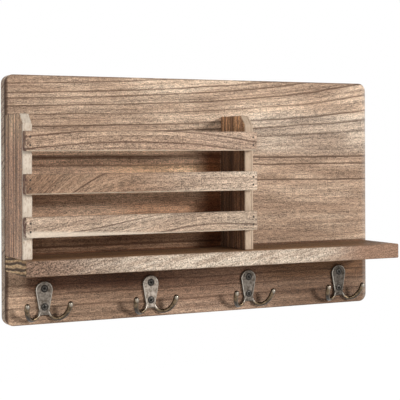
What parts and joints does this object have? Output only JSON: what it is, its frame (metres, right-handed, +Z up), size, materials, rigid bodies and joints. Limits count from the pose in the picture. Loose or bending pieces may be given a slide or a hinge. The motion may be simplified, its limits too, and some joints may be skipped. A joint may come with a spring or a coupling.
{
  "type": "wall mail organizer",
  "caption": "Wooden wall organizer with a slatted letter bay on a full-width shelf and double-prong key hooks below.",
  "frame": {"origin": "on the wall plane, midway between the two keyholes, where the hanging screws sit", "axes": "+X to the right along the board, +Y into the wall, +Z up"},
  "size_m": [0.43, 0.077, 0.25],
  "materials": {
    "back_board_wood": "stained, fine horizontal grain, matt",
    "shelf_wood": "stained, matt, lighter front edge",
    "upright_wood": "stained, matt",
    "slat_wood": "stained, matt",
    "hook_bronze": "antique bronze plating on a zinc casting, rubbed bright at the prong tips",
    "screw_steel": "blackened, cross recess",
    "brad_steel": "blackened wire"
  },
  "bodies": {
    "root": {"back_board": "back_board_wood", "shelf": "shelf_wood", "shelf_screws": "screw_steel", "upright_left": "upright_wood", "upright_left_screws": "screw_steel", "upright_right": "upright_wood", "upright_right_screws": "screw_steel", "slat_1": "slat_wood", "slat_1_brads": "brad_steel", "slat_2": "slat_wood", "slat_2_brads": "brad_steel", "slat_3": "slat_wood", "slat_3_brads": "brad_steel", "hook_1": "hook_bronze", "hook_1_screws": "screw_steel", "hook_2": "hook_bronze", "hook_2_screws": "screw_steel", "hook_3": "hook_bronze", "hook_3_screws": "screw_steel", "hook_4": "hook_bronze", "hook_4_screws": "screw_steel"}
  },
  "joints": []
}
